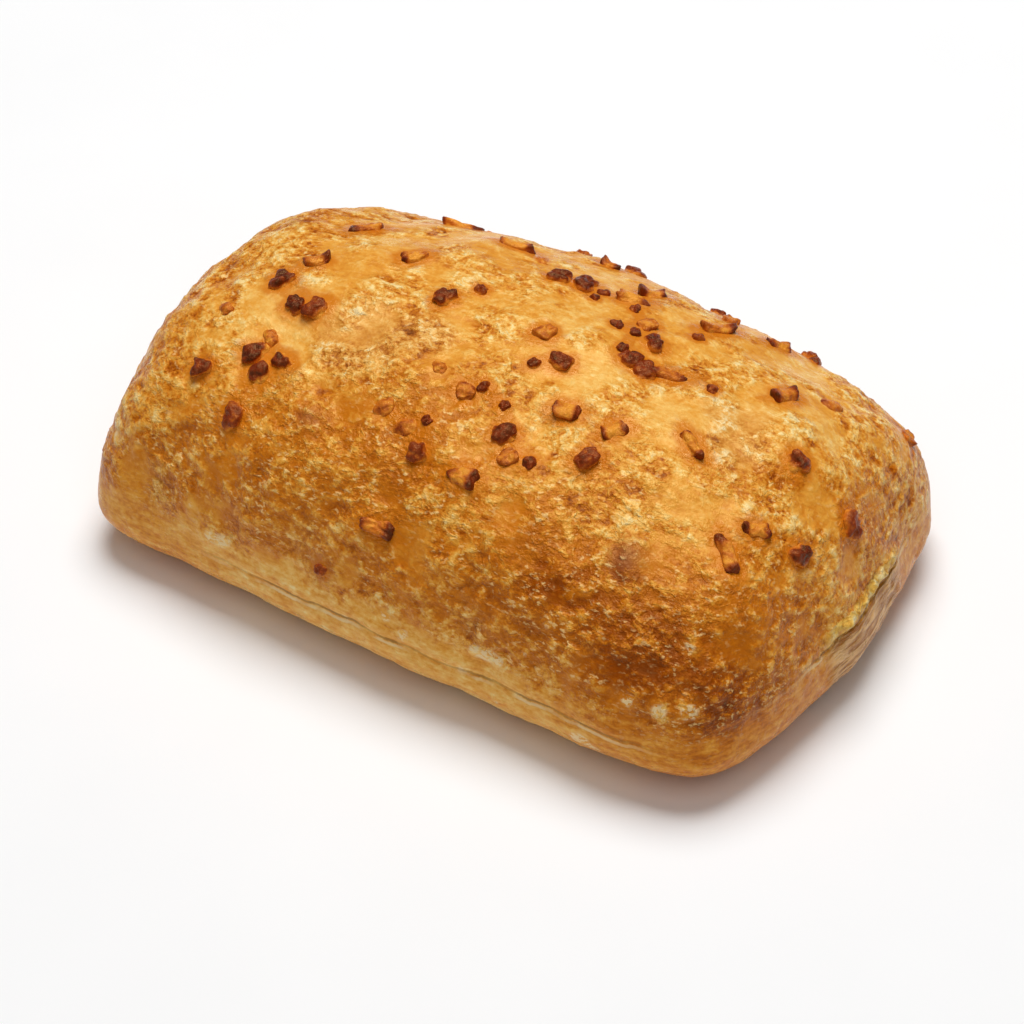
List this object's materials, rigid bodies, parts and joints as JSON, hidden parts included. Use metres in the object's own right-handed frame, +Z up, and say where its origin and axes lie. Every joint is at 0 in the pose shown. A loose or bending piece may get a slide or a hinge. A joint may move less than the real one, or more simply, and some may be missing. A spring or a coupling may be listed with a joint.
{
  "type": "onion ciabatta loaf",
  "caption": "Oblong ciabatta loaf with a domed golden crust, a crease low on its sides and diced roasted onion baked into its top, resting on a flat base.",
  "frame": {"origin": "middle of the loaf's box in plan, on the plane of the flat base that it rests on", "axes": "+X along the loaf, +Y across it towards the long side that the picture hides, +Z up"},
  "size_m": [0.1922, 0.1266, 0.067],
  "materials": {
    "crust": "golden to caramel baked crust, satin, with pale floury patches low on the sides",
    "onion": "roasted onion, amber to charred brown, slightly glossy"
  },
  "bodies": {
    "root": {"loaf": "crust"}
  },
  "joints": []
}
